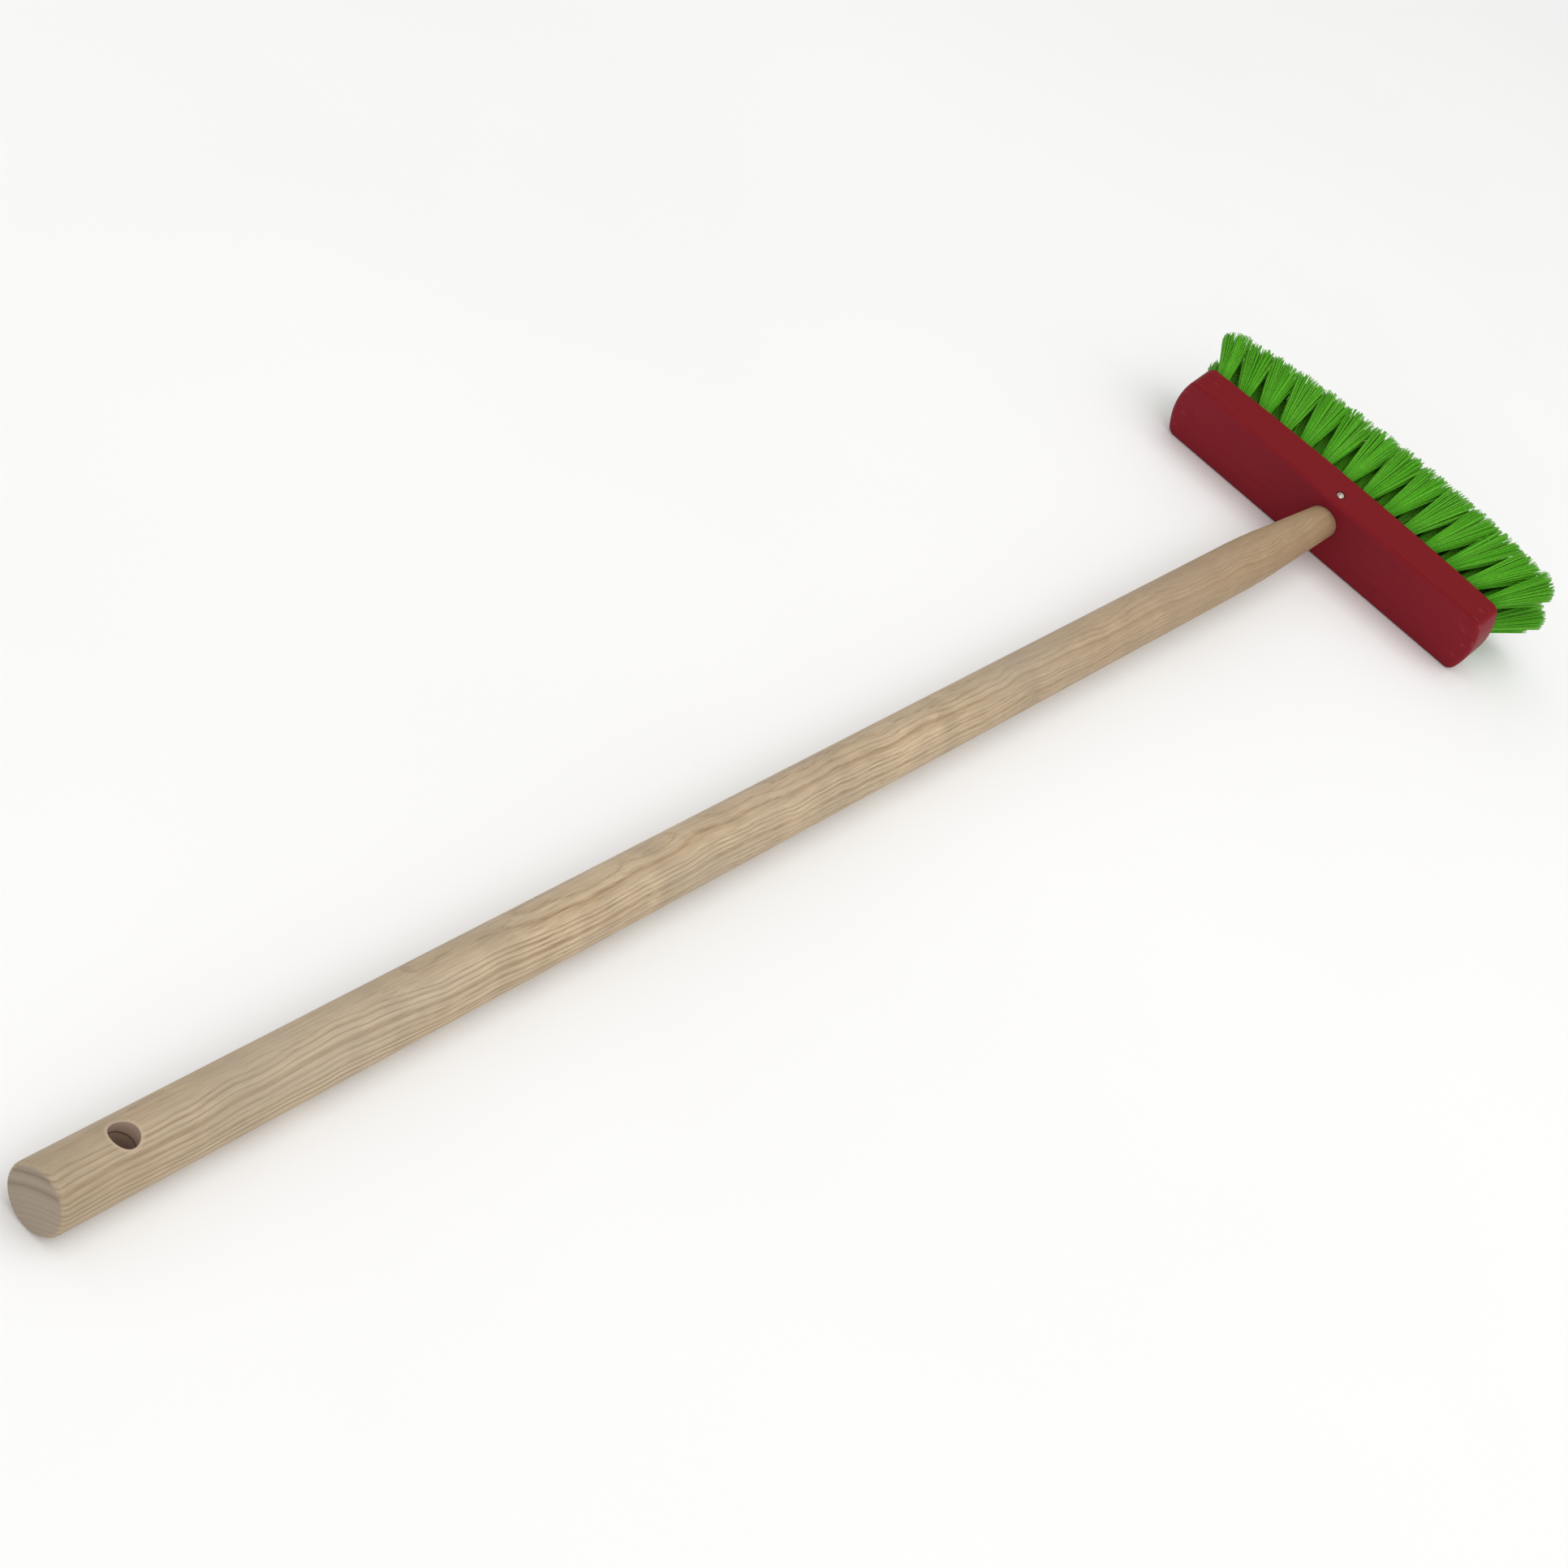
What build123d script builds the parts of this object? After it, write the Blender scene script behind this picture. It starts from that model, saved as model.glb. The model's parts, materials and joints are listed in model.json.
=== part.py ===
from build123d import *
import os
from math import asin, atan2, cos, degrees, hypot, radians, sin, sqrt, tan

# A small push broom that lies on the floor with its bristles pointing forward and slightly up.
# Millimetres. +X runs along the block, +Y from the grip to the bristles and +Z up.
# The origin is on the floor, under the middle of the broom's box.

# Handle: a round wooden stick with a tapered end that is driven into the block.
handle_diameter = 24.0
exposed_length = 840.0
grip_rounding = 2.0
taper_length = 95.0
taper_curve = 30.0
joint_diameter = 17.0
tip_diameter = 16.0
tip_chamfer = 2.0
socket_depth = 9.5
socket_fit = 0.1
socket_floor = 1.0

# Hanging hole, square to the handle and to the block's length.
hanging_hole_diameter = 10.0
hanging_hole_setback = 30.0

# Block: a turned-down board with bowed ends and a bowed bristle face.
block_length = 195.0
block_width = 38.0
block_depth_middle = 20.0
block_depth_end = 17.5
block_end_bulge = 4.0
block_corner_radius = 5.0
block_top_rounding = 2.5
block_face_rounding = 1.0
sweep_angle = 18.0

# Tufts: bundles of bristles folded into blind holes, in four staggered rows.
tuft_rows = ("a", "b", "c", "d")
tufts_in_row = (14, 13, 14, 13)
end_margin = 11.05
side_margin = 5.5
tuft_hole_diameter = 5.8
tuft_fit = 0.1
flare_start = 2.0
tuft_length_middle = 43.0
tuft_length_end = 38.0
fan_angle_end = 26.0
fan_angle_side = 6.0
tip_gap = 1.2
tip_rounding = 2.0

# Anchors: short flat wires that hold each fold down and bite into the wood on both sides.
anchor_width = 2.2
anchor_thickness = 0.5
anchor_bite = 0.5
anchor_lift = 1.5
anchor_fit = 0.02

# Nail that pins the handle in its socket, driven through the upper side wall.
nail_diameter = 2.2
nail_length = 22.0
nail_point = 4.0
nail_head_diameter = 4.4
nail_head_height = 1.1
nail_recess = 0.6
nail_recess_gap = 0.4
nail_fit = 0.05
nail_below_top = 6.6

# The handle enters the top face above its middle, so that its axis meets the middle of the block.
joint_offset = tan(radians(sweep_angle)) * block_depth_middle / 2

# The tuft holes are as deep as the socket leaves room for, with socket_floor of wood between them.
# The upper rim of the handle's tip reaches furthest into the block.
tip_face_radius = tip_diameter / 2 - tip_chamfer + socket_fit
socket_reach = (socket_depth + socket_fit) * cos(radians(sweep_angle))
socket_reach += tip_face_radius * sin(radians(sweep_angle))
tuft_hole_depth = block_depth_middle - socket_reach - socket_floor

# The broom rests on the rounded lower edge of the block and on the rounded rim of the grip end.
handle_radius = handle_diameter / 2
edge_below = block_width / 2 + joint_offset - block_top_rounding
edge_forward = exposed_length + edge_below * sin(radians(sweep_angle))
edge_forward += block_top_rounding * cos(radians(sweep_angle))
edge_drop = edge_below * cos(radians(sweep_angle)) - block_top_rounding * sin(radians(sweep_angle))
rim_run = edge_forward - grip_rounding
rim_drop = edge_drop - (handle_radius - grip_rounding)
rounding_step = (block_top_rounding - grip_rounding) / hypot(rim_run, rim_drop)
rest_tilt = degrees(atan2(rim_drop, rim_run) + asin(rounding_step))


def slope(angle):
    # Unit vector in the plane of symmetry, angle degrees above the floor.
    return Vector(0, cos(radians(angle)), sin(radians(angle)))


handle_run = slope(rest_tilt)
bristle_run = slope(rest_tilt + sweep_angle)
block_up = slope(rest_tilt + sweep_angle + 90)

# Face of the bristle side: a shallow arc along the block.
face_sagitta = block_depth_middle - block_depth_end
face_radius = ((block_length / 2) ** 2 + face_sagitta**2) / (2 * face_sagitta)


def face_depth(x):
    # Depth of the bristle face below the top face, x along from the middle.
    return block_depth_middle - face_radius + sqrt(face_radius**2 - x**2)


def tuft_places():
    # Name, place on the face, direction and free length of each tuft.
    # Places are from the middle of the block's top face.
    outer_row = block_width / 2 - side_margin
    last_column = block_length / 2 - end_margin
    row_pitch = 2 * outer_row / (len(tuft_rows) - 1)
    tuft_pitch = 2 * last_column / (max(tufts_in_row) - 1)
    for row, (letter, count) in enumerate(zip(tuft_rows, tufts_in_row)):
        across = outer_row - row_pitch * row
        for column in range(1, count + 1):
            along = tuft_pitch * (column - (count + 1) / 2)
            lean_x = tan(radians(fan_angle_end)) * along / last_column
            lean_side = tan(radians(fan_angle_side)) * across / outer_row
            direction = (Vector(lean_x, 0, 0) + bristle_run + block_up * lean_side).normalized()
            base = Vector(along, 0, 0) + bristle_run * face_depth(along) + block_up * across
            shortening = (tuft_length_middle - tuft_length_end) * (along / last_column) ** 4
            yield f"tuft_{letter}_{column:02d}", base, direction, tuft_length_middle - shortening


tufts = list(tuft_places())

# Tufts widen until their tips stand tip_gap apart.
tip_centres = [base + direction * length for _, base, direction, length in tufts]
closest_tips = min(
    (one - other).length
    for index, one in enumerate(tip_centres)
    for other in tip_centres[:index]
)
tip_radius = (closest_tips - tip_gap) / 2

# Place of the joint, the point where the handle's axis meets the block's top face.
top_middle = block_up * -joint_offset
front_reach = top_middle.Y + max(
    tip.Y + tip_radius * sqrt(1 - direction.Y**2)
    for tip, (_, _, direction, _) in zip(tip_centres, tufts)
)
back_reach = exposed_length * handle_run.Y + handle_radius * handle_run.Z
grip_height = handle_radius * handle_run.Y
grip_end = Vector(0, -(front_reach + back_reach) / 2 + handle_radius * handle_run.Z, grip_height)
joint = grip_end + handle_run * exposed_length
block_middle = joint + top_middle

handle_side = Plane(origin=grip_end, x_dir=handle_run, z_dir=(1, 0, 0))
handle_axis = Axis(grip_end, handle_run)
block_top = Plane(origin=block_middle, x_dir=(1, 0, 0), z_dir=-bristle_run)
block_front = Plane(origin=block_middle, x_dir=(1, 0, 0), z_dir=block_up)


def handle_end_profile(start, spread):
    # Half outline of the handle from start to its end in the block, grown by spread.
    taper_start = exposed_length - taper_length
    curve_end = taper_start + taper_curve
    steepness = (handle_diameter - joint_diameter) / 2 / (taper_length - taper_curve / 2)
    joint_radius = joint_diameter / 2 + spread
    tip_end = exposed_length + socket_depth + spread
    tip = tip_diameter / 2 + spread
    if start < taper_start:
        Line((start, 0), (start, handle_radius + spread))
        Line((start, handle_radius + spread), (taper_start, handle_radius + spread))
        bend = (curve_end, handle_radius + spread - steepness * taper_curve / 2)
        TangentArc((taper_start, handle_radius + spread), bend, tangent=(1, 0))
        Line(bend, (exposed_length, joint_radius))
    else:
        mouth = joint_radius + steepness * (exposed_length - start)
        Polyline((start, 0), (start, mouth), (exposed_length, joint_radius))
    Polyline(
        (exposed_length, joint_radius),
        (tip_end - tip_chamfer, tip),
        (tip_end, tip - tip_chamfer),
        (tip_end, 0),
        (start, 0),
    )


# Nail place: it lies in the plane of symmetry and points down through the block.
nail_head_seat = block_middle + bristle_run * nail_below_top
nail_head_seat += block_up * (block_width / 2 - nail_recess)
nail_plane = Plane(origin=nail_head_seat, x_dir=(1, 0, 0), z_dir=-block_up)
nail_side = Plane(origin=nail_head_seat, x_dir=-block_up, z_dir=(1, 0, 0))

tuft_planes = {
    name: Plane(origin=block_middle + base, x_dir=direction.cross(block_up), z_dir=direction)
    for name, base, direction, _ in tufts
}
tuft_lengths = {name: length for name, _, _, length in tufts}
anchor_foot = anchor_lift - tuft_hole_depth
anchor_length = tuft_hole_diameter + 2 * anchor_bite


with BuildPart() as handle:
    with BuildSketch(handle_side) as handle_profile:
        with BuildLine():
            handle_end_profile(0, 0)
        make_face()
    revolve(axis=handle_axis)
    grip_rim = handle.edges().filter_by(GeomType.CIRCLE).sort_by(handle_axis)[0]
    fillet(grip_rim, grip_rounding)
    hole_plane = Plane(
        origin=grip_end + handle_run * hanging_hole_setback,
        x_dir=(1, 0, 0),
        z_dir=handle_side.y_dir,
    )
    with BuildSketch(hole_plane):
        Circle(hanging_hole_diameter / 2)
    extrude(amount=handle_diameter, both=True, mode=Mode.SUBTRACT)
    with BuildSketch(nail_plane):
        Circle(nail_diameter / 2 + nail_fit)
    extrude(amount=nail_length + nail_fit, mode=Mode.SUBTRACT)


with BuildPart() as block:
    half_length = block_length / 2
    half_width = block_width / 2
    with BuildSketch(block_top) as block_outline:
        with BuildLine():
            shoulder = half_length - block_end_bulge
            Line((-shoulder, half_width), (shoulder, half_width))
            ThreePointArc((shoulder, half_width), (half_length, 0), (shoulder, -half_width))
            Line((shoulder, -half_width), (-shoulder, -half_width))
            ThreePointArc((-shoulder, -half_width), (-half_length, 0), (-shoulder, half_width))
        make_face()
        fillet(block_outline.vertices(), block_corner_radius)
    extrude(amount=-block_depth_middle)
    with BuildSketch(block_front) as block_lengthwise:
        with BuildLine():
            Polyline(
                (-half_length, block_depth_end),
                (-half_length, 0),
                (half_length, 0),
                (half_length, block_depth_end),
            )
            ThreePointArc(
                (half_length, block_depth_end),
                (0, block_depth_middle),
                (-half_length, block_depth_end),
            )
        make_face()
    extrude(amount=block_width, both=True, mode=Mode.INTERSECT)
    across_depth = Axis(block_middle, bristle_run)
    fillet(block.faces().sort_by(across_depth)[0].edges(), block_top_rounding)
    fillet(block.faces().sort_by(across_depth)[-1].edges(), block_face_rounding)
    # Socket for the handle's tapered end.
    with BuildSketch(handle_side):
        with BuildLine():
            handle_end_profile(exposed_length - handle_diameter, socket_fit)
        make_face()
    revolve(axis=handle_axis, mode=Mode.SUBTRACT)
    # Nail hole with its recess.
    with BuildSketch(nail_plane.offset(-nail_head_height)):
        Circle(nail_head_diameter / 2 + nail_recess_gap)
    extrude(amount=nail_head_height, mode=Mode.SUBTRACT)
    with BuildSketch(nail_plane):
        Circle(nail_diameter / 2 + nail_fit)
    extrude(amount=nail_length + nail_fit, mode=Mode.SUBTRACT)
    # Tuft holes and the cuts that the anchors make in their walls.
    for tuft_plane in tuft_planes.values():
        with BuildSketch(tuft_plane.offset(-tuft_hole_depth)):
            Circle(tuft_hole_diameter / 2)
        extrude(amount=tuft_hole_depth + tuft_hole_diameter, mode=Mode.SUBTRACT)
        with BuildSketch(tuft_plane.offset(anchor_foot - anchor_fit)):
            Rectangle(anchor_length + 2 * anchor_fit, anchor_thickness + 2 * anchor_fit)
        extrude(amount=anchor_width + 2 * anchor_fit, mode=Mode.SUBTRACT)


with BuildPart() as handle_nail:
    with BuildSketch(nail_side):
        with BuildLine():
            ThreePointArc(
                (-nail_head_height, 0),
                (-nail_head_height / 2, nail_head_diameter * sqrt(3) / 4),
                (0, nail_head_diameter / 2),
            )
            Polyline(
                (0, nail_head_diameter / 2),
                (0, nail_diameter / 2),
                (nail_length - nail_point, nail_diameter / 2),
                (nail_length, 0),
                (-nail_head_height, 0),
            )
        make_face()
    revolve(axis=Axis(nail_head_seat, -block_up))


with BuildPart() as tuft_anchors:
    for tuft_plane in tuft_planes.values():
        with BuildSketch(tuft_plane.offset(anchor_foot)):
            Rectangle(anchor_length, anchor_thickness)
        extrude(amount=anchor_width)


def make_tuft(name):
    seat = tuft_planes[name]
    length = tuft_lengths[name]
    root_radius = tuft_hole_diameter / 2 - tuft_fit
    with BuildPart() as tuft:
        with BuildSketch(seat.offset(tuft_fit - tuft_hole_depth)):
            Circle(root_radius)
        extrude(amount=tuft_hole_depth - tuft_fit + flare_start)
        with BuildSketch(seat.offset(flare_start)):
            Circle(root_radius)
        with BuildSketch(seat.offset(length)):
            Circle(tip_radius)
        loft()
        tip_face = tuft.faces().sort_by(Axis(seat.origin, seat.z_dir))[-1]
        fillet(tip_face.edges(), tip_rounding)
        with BuildSketch(seat.offset(anchor_foot - anchor_fit)):
            Rectangle(anchor_length, anchor_thickness + 2 * anchor_fit)
        extrude(amount=anchor_width + 2 * anchor_fit, mode=Mode.SUBTRACT)
    tuft.part.label = name
    return tuft.part


handle.part.label = "handle"
block.part.label = "block"
handle_nail.part.label = "handle_nail"
tuft_anchors.part.label = "tuft_anchors"
pieces = [handle.part, block.part, handle_nail.part, tuft_anchors.part]
pieces += [make_tuft(name) for name in tuft_planes]

os.makedirs("parts", exist_ok=True)
for piece in pieces:
    export_step(piece, f"parts/{piece.label}.step")
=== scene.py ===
import json
import math
import random

import bpy
import numpy as np
from mathutils import Matrix, Vector


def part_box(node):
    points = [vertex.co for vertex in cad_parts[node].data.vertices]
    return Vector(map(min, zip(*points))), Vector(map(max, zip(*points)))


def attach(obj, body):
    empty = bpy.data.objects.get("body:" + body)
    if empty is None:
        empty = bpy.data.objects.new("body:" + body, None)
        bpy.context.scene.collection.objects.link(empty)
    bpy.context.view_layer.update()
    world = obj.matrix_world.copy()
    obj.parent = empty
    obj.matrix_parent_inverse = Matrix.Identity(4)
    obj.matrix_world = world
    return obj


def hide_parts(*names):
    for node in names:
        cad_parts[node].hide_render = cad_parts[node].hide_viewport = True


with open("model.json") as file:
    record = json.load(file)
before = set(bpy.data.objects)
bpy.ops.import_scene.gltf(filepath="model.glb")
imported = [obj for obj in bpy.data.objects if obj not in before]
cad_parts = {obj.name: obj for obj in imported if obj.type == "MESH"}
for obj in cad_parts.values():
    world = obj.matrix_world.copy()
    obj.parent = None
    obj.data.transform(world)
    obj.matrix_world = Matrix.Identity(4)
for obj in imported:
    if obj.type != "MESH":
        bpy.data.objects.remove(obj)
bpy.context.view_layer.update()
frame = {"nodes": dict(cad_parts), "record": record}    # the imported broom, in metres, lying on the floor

mm = 0.001
nodes = frame["nodes"]
mounts = {mount["name"]: mount for mount in frame["record"]["mounts"]}
dice = random.Random(41)    # every random draw comes from here, so each run gives the same broom


# Where things are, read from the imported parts.
gripEnd = Vector(mounts["grip_end_face"]["pos_m"])
stickRun = -Vector(mounts["grip_end_face"]["axis"])    # from the grip end towards the block
hangingHole = Vector(mounts["hanging_hole"]["pos_m"])
hangingRadius = mounts["hanging_hole"]["dims"]["r_mm"] * mm
endSlice = 0.1 * mm    # corners this near an end count as the end


def meshPoints(name):
    # a node's corners, each one once
    corners = [vertex.co for vertex in nodes[name].data.vertices]
    return np.unique(np.round(np.array(corners), 7), axis=0)


def broadFace(name):
    # normal of the flat face with the largest area
    tally = {}
    for face in nodes[name].data.polygons:
        key = tuple(round(value, 3) for value in face.normal)
        tally[key] = tally.get(key, 0) + face.area
    return Vector(max(tally, key=tally.get)).normalized()


def lineOf(name):
    # middle of a tuft's foot and of its tip, measured along the tuft's own axis
    points = meshPoints(name)
    middle = points.mean(axis=0)
    axis = np.linalg.svd(points - middle, full_matrices=False)[2][0]
    axis = axis if axis @ np.array(bristleRun) > 0 else -axis
    reach = (points - middle) @ axis
    foot = points[reach < reach.min() + endSlice].mean(axis=0)
    tip = points[reach > reach.max() - endSlice].mean(axis=0)
    return Vector(foot), Vector(tip)


bristleRun = -broadFace("block")    # the block's widest flat face is the one the stick enters
blockUp = Vector((1, 0, 0)).cross(bristleRun)
blockTurn = math.atan2(bristleRun.z, bristleRun.y)
blockPoints = meshPoints("block")
blockDepth = blockPoints @ np.array(bristleRun)
blockRise = blockPoints @ np.array(blockUp)
blockFront = bristleRun * blockDepth.min() + blockUp * (blockRise.min() + blockRise.max()) / 2
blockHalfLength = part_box("block")[1].x
blockHalfWidth = (blockRise.max() - blockRise.min()) / 2
tuftNames = sorted(name for name in nodes if name.startswith("tuft_") and name != "tuft_anchors")
print("places read:", len(tuftNames), "tufts, block turned", round(math.degrees(blockTurn), 2), "degrees")


# Materials. A span in a look holds the four limits of a Map Range node: from two values, to two values.
def toLinear(hexColour):
    # sRGB hex to the linear values that sockets take
    shares = [int(hexColour[at:at + 2], 16) / 255 for at in (1, 3, 5)]
    return [share / 12.92 if share <= 0.04045 else ((share + 0.055) / 1.055) ** 2.4 for share in shares] + [1.0]


def addNode(material, kind, inputs=(), stops=(), **settings):
    # one node with its settings; inputs are a list for the first sockets or go by name or number,
    # and each one is a value, a hex colour or the socket that feeds it
    node = material.node_tree.nodes.new("ShaderNode" + kind)
    for name, value in settings.items():
        setattr(node, name, value)
    for name, value in inputs.items() if isinstance(inputs, dict) else enumerate(inputs):
        if isinstance(value, bpy.types.NodeSocket):
            material.node_tree.links.new(value, node.inputs[name])
        else:
            node.inputs[name].default_value = toLinear(value) if isinstance(value, str) else value
    for place, colour in stops:    # a ramp starts with a stop at 0 and one at 1
        ends = {0.0: node.color_ramp.elements[0], 1.0: node.color_ramp.elements[-1]}
        stop = ends.get(place) or node.color_ramp.elements.new(place)
        stop.color = toLinear(colour)
    return node


def newMaterial(name, **surface):
    # a material with one shader, whose uniform values are given here
    material = bpy.data.materials.new(name)
    material.use_nodes = True
    shader = material.node_tree.nodes["Principled BSDF"]
    for socket, value in surface.items():
        shader.inputs[socket.replace("_", " ")].default_value = value
    return material, shader


def feed(material, shader, **sockets):
    for name, socket in sockets.items():
        material.node_tree.links.new(socket, shader.inputs[name.replace("_", " ")])


def patternScale(*sizes):
    # noise scale whose features are this large along x, y and z
    return [1 / size for size in sizes]


def alongStick(across, along):
    # the same for a pattern in the stick's own frame, whose y runs along it
    return patternScale(across, along, across)


ashWoodLook = {
    "specular": 0.25,
    "roughness": (0.3, 0.7, 0.48, 0.7),    # span, rougher where it is greyer
    # the tree
    "ringSpacing": 1.9 * mm,    # one summer's growth
    "yearsDiffer": 1.6,    # in years, how far wide and narrow ones push the lines
    "widthPerYear": 0.45,    # pace at which the years' width changes
    "pithBelow": 38 * mm,    # the tree's middle lies below and to one side of the stick,
    "pithAside": 28 * mm,    # so one flank shows calm figure and the other fine lines
    "runOut": 0.012,    # slope between the tree's axis and the stick's
    "drift": (90.91 * mm, 166.67 * mm),    # slow drift of the grain, across and along
    "driftReach": 9 * mm,
    "wave": (41.67 * mm, 33.33 * mm),    # and short waves
    "waveTurn": 0.5,
    "waveReach": 4 * mm,
    # colours over one year's growth
    "pale": "#c6b294",
    "middle": "#b8a283",
    "honey": "#a88c66",
    "pore": "#866a48",
    "springEnds": 0.14,    # as shares of a year
    "summerStarts": 0.34,
    "summerEnds": 0.78,
    "faintYears": (0.3, 0.7, 0.5, 1.0),    # span
    "strengthPerYear": 0.21,    # pace at which the lines' strength changes
    "calmSide": (0.97, 0.6, 0.22, 1.0),    # span, by how far a spot faces away from the tree's middle
    "plainer": (140 * mm, 340 * mm, 1.0, 0.62),    # span along the stick, lines are plainest near the grip
    # pores and fibres
    "poreSize": (0.4167 * mm, 11.11 * mm),    # drawn about twice their real width, so that they show
    "pores": (0.5, 0.62, 0.0, 0.65),    # span
    "earlyWood": (0.0, 0.42, 1.0, 0.25),    # span over the year, pores are mostly in its first growth
    "fibreSize": (0.9091 * mm, 33.33 * mm),
    "fibres": (0.3, 0.7, 0.8, 1.16),    # span of brightness
    "rippleSize": (83.33 * mm, 14.286 * mm),
    "rippleTurn": 0.35,
    "ripples": (0.3, 0.7, 0.91, 1.07),    # span of brightness
    # age and use
    "grey": "#aa9d8c",
    "patchSize": (28.57 * mm, 111.1 * mm),    # a hand's width long
    "patches": (0.4, 0.72, 0.0, 0.5),    # span
    "warm": "#967a57",
    "browned": (440 * mm, 840 * mm, 0.0, 0.8),    # span along the stick
    "handled": "#97866d",
    "held": (110 * mm, 10 * mm, 0.0, 0.45),    # span along the stick
    # the sawn ends
    "endGrain": "#95897b",
    "sawn": (0.75, 0.97, 0.0, 0.7),    # span, by how far a spot faces along the stick
    "streakStart": 50 * mm,    # two dark years, from here to there off the tree's middle
    "streakEnd": 60 * mm,
    "streaks": [(0.0, "#000000"), (0.12, "#ffffff"), (0.24, "#000000"), (0.42, "#202020"),
                (0.55, "#ffffff"), (0.7, "#000000"), (1.0, "#000000")],
    "streakShare": 0.6,
    # the hanging hole
    "holeWall": "#b29a88",
    "wallReach": (0.05 * mm, 0.5 * mm),    # its colour fades out between these distances past the wall
    "rimReach": 1.4 * mm,    # and the rim's pale wear ends here
    "rimWear": 0.45,
    "crack": "#5a4336",
    "crackAbove": 6.5 * mm,    # from the middle of the stick
    "crackSway": 3 * mm,
    "crackFade": (0.6 * mm, 0.2 * mm, 0.0, 0.75),    # span from the middle of the crack
    # relief
    "relief": 0.12 * mm,
    "reliefStrength": 0.35,
    "ringRelief": 0.5,    # a year's share beside the fibres' 1
}


def wavyGrain(wood, own, look):
    # how far the grain drifts sideways at a spot, and the spot's place with drift and waves added
    slow = addNode(wood, "Mapping", {"Vector": own, "Scale": alongStick(*look["drift"])}).outputs[0]
    drift = addNode(wood, "TexNoise", {"Vector": slow, "Scale": 1.0, "Detail": 2.0, "Roughness": 0.45}).outputs["Color"]
    sway = addNode(wood, "VectorMath", [drift, (0.5, 0.5, 0.5)], operation="SUBTRACT").outputs[0]
    driftReach = (look["driftReach"], 0, look["driftReach"])
    shifted = addNode(wood, "VectorMath", [sway, driftReach, own], operation="MULTIPLY_ADD").outputs[0]
    lie = {"Vector": own, "Rotation": (0, 0, look["waveTurn"]), "Scale": alongStick(*look["wave"])}
    wavePlace = addNode(wood, "Mapping", lie).outputs[0]
    wave = addNode(wood, "TexNoise", {"Vector": wavePlace, "Scale": 1.0, "Detail": 1.0}).outputs["Color"]
    waveSway = addNode(wood, "VectorMath", [wave, (0.5, 0.5, 0.5)], operation="SUBTRACT").outputs[0]
    waveReach = (look["waveReach"], 0, look["waveReach"])
    return sway, addNode(wood, "VectorMath", [waveSway, waveReach, shifted], operation="MULTIPLY_ADD").outputs[0]


def growthRings(wood, waved, look):
    # distance from the tree's middle, the same counted in years, and the season within a year from 0 to 1
    split = addNode(wood, "SeparateXYZ", [waved])
    run = addNode(wood, "Math", [split.outputs["Y"], look["runOut"]], operation="MULTIPLY").outputs[0]
    aside = addNode(wood, "Math", [split.outputs["X"], look["pithAside"]], operation="SUBTRACT").outputs[0]
    above = addNode(wood, "Math", [split.outputs["Z"], -look["pithBelow"]], operation="SUBTRACT").outputs[0]
    sloped = addNode(wood, "Math", [above, run], operation="ADD").outputs[0]
    flat = addNode(wood, "CombineXYZ", [aside, sloped]).outputs[0]
    radius = addNode(wood, "VectorMath", [flat], operation="LENGTH").outputs["Value"]
    years = addNode(wood, "Math", [radius, look["ringSpacing"]], operation="DIVIDE").outputs[0]
    # years differ in width
    widthNoise = {"W": years, "Scale": look["widthPerYear"], "Detail": 1.0}
    width = addNode(wood, "TexNoise", widthNoise, noise_dimensions="1D").outputs["Fac"]
    uneven = addNode(wood, "Math", [width, look["yearsDiffer"], years], operation="MULTIPLY_ADD").outputs[0]
    return radius, years, addNode(wood, "Math", [uneven], operation="FRACT").outputs[0]


def growthLines(wood, years, season, normal, towardsBlock, look):
    # colour of the lines that the years draw along the stick
    stops = [(0.0, look["pore"]), (look["springEnds"], look["honey"]), (look["summerStarts"], look["pale"]),
             (look["summerEnds"], look["pale"]), (1.0, look["honey"])]
    yearColour = addNode(wood, "ValToRGB", [season], stops).outputs[0]
    # some years barely show
    strengthNoise = {"W": years, "Scale": look["strengthPerYear"], "Detail": 1.0}
    strength = addNode(wood, "TexNoise", strengthNoise, noise_dimensions="1D").outputs["Fac"]
    strong = addNode(wood, "MapRange", [strength, *look["faintYears"]]).outputs[0]
    # and the side that faces the tree's bark shows a calm, broad figure instead of lines
    outward = Vector((-look["pithAside"], 0, look["pithBelow"])).normalized()
    facing = addNode(wood, "VectorMath", [normal, outward], operation="DOT_PRODUCT").outputs["Value"]
    lined = addNode(wood, "MapRange", [facing, *look["calmSide"]]).outputs[0]
    plain = addNode(wood, "MapRange", [towardsBlock, *look["plainer"]]).outputs[0]
    linedPlain = addNode(wood, "Math", [lined, plain], operation="MULTIPLY").outputs[0]
    show = addNode(wood, "Math", [strong, linedPlain], operation="MULTIPLY").outputs[0]
    return addNode(wood, "Mix", {0: show, 6: look["middle"], 7: yearColour}, data_type="RGBA").outputs[2]


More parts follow.
